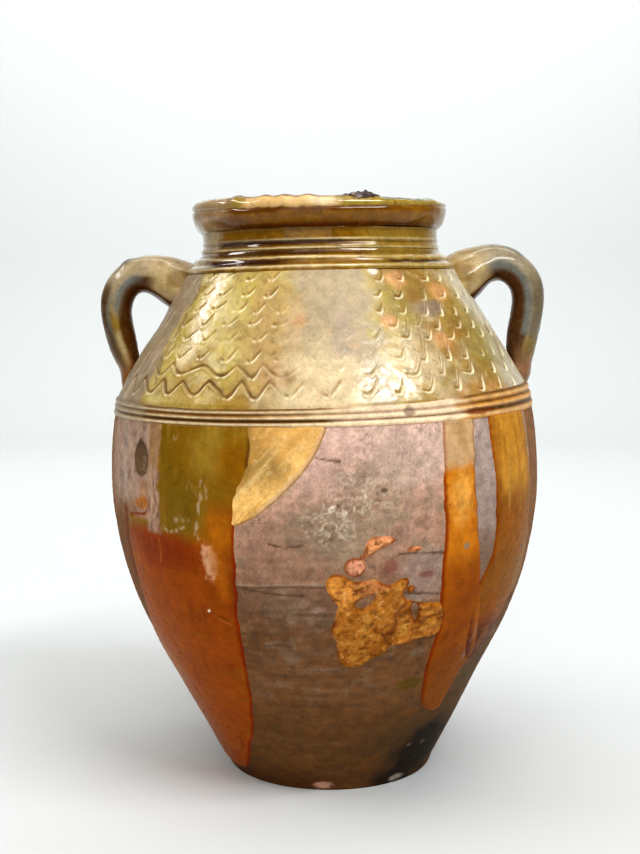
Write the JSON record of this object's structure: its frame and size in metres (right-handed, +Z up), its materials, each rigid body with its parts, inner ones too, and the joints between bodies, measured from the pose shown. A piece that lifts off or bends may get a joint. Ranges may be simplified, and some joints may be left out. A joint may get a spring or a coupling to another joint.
{
  "type": "glazed terracotta storage jar",
  "caption": "Wide-mouthed storage jar on a plain foot, with looped handles on a combed shoulder, tooled bands over the seams and poured glaze that runs down bare clay.",
  "frame": {"origin": "centre of the flat underside of the foot", "axes": "+Z up; -Y is the front that the picture shows; the handles stand towards +X and -X; the jar leans 1.2 degrees towards -X, as the real one does"},
  "size_m": [0.3573, 0.3418, 0.454],
  "materials": {
    "bare_clay": "matte, mottled mauve-pink and grey",
    "shoulder_glaze": "glossy, olive to cream over incised waves",
    "neck_glaze": "glossy, amber-brown to olive",
    "band_clay": "satin, dark in the grooves",
    "handle_glaze": "glossy, tan and blue-grey over brown",
    "amber_glaze": "glossy, olive to amber and red-brown",
    "slag": "rough dark clinker"
  },
  "bodies": {
    "root": {"lower_body": "bare_clay", "shoulder": "shoulder_glaze", "neck": "neck_glaze", "rim": "neck_glaze", "belly_band": "band_clay", "neck_band": "neck_glaze", "left_handle": "handle_glaze", "right_handle": "handle_glaze", "glaze_run_left": "amber_glaze", "glaze_tongue": "amber_glaze", "glaze_run_right": "amber_glaze", "glaze_run_far_right": "amber_glaze", "glaze_splash": "amber_glaze", "glaze_run_back_left": "amber_glaze", "glaze_run_back_right": "amber_glaze", "rim_slag": "slag"}
  },
  "joints": []
}
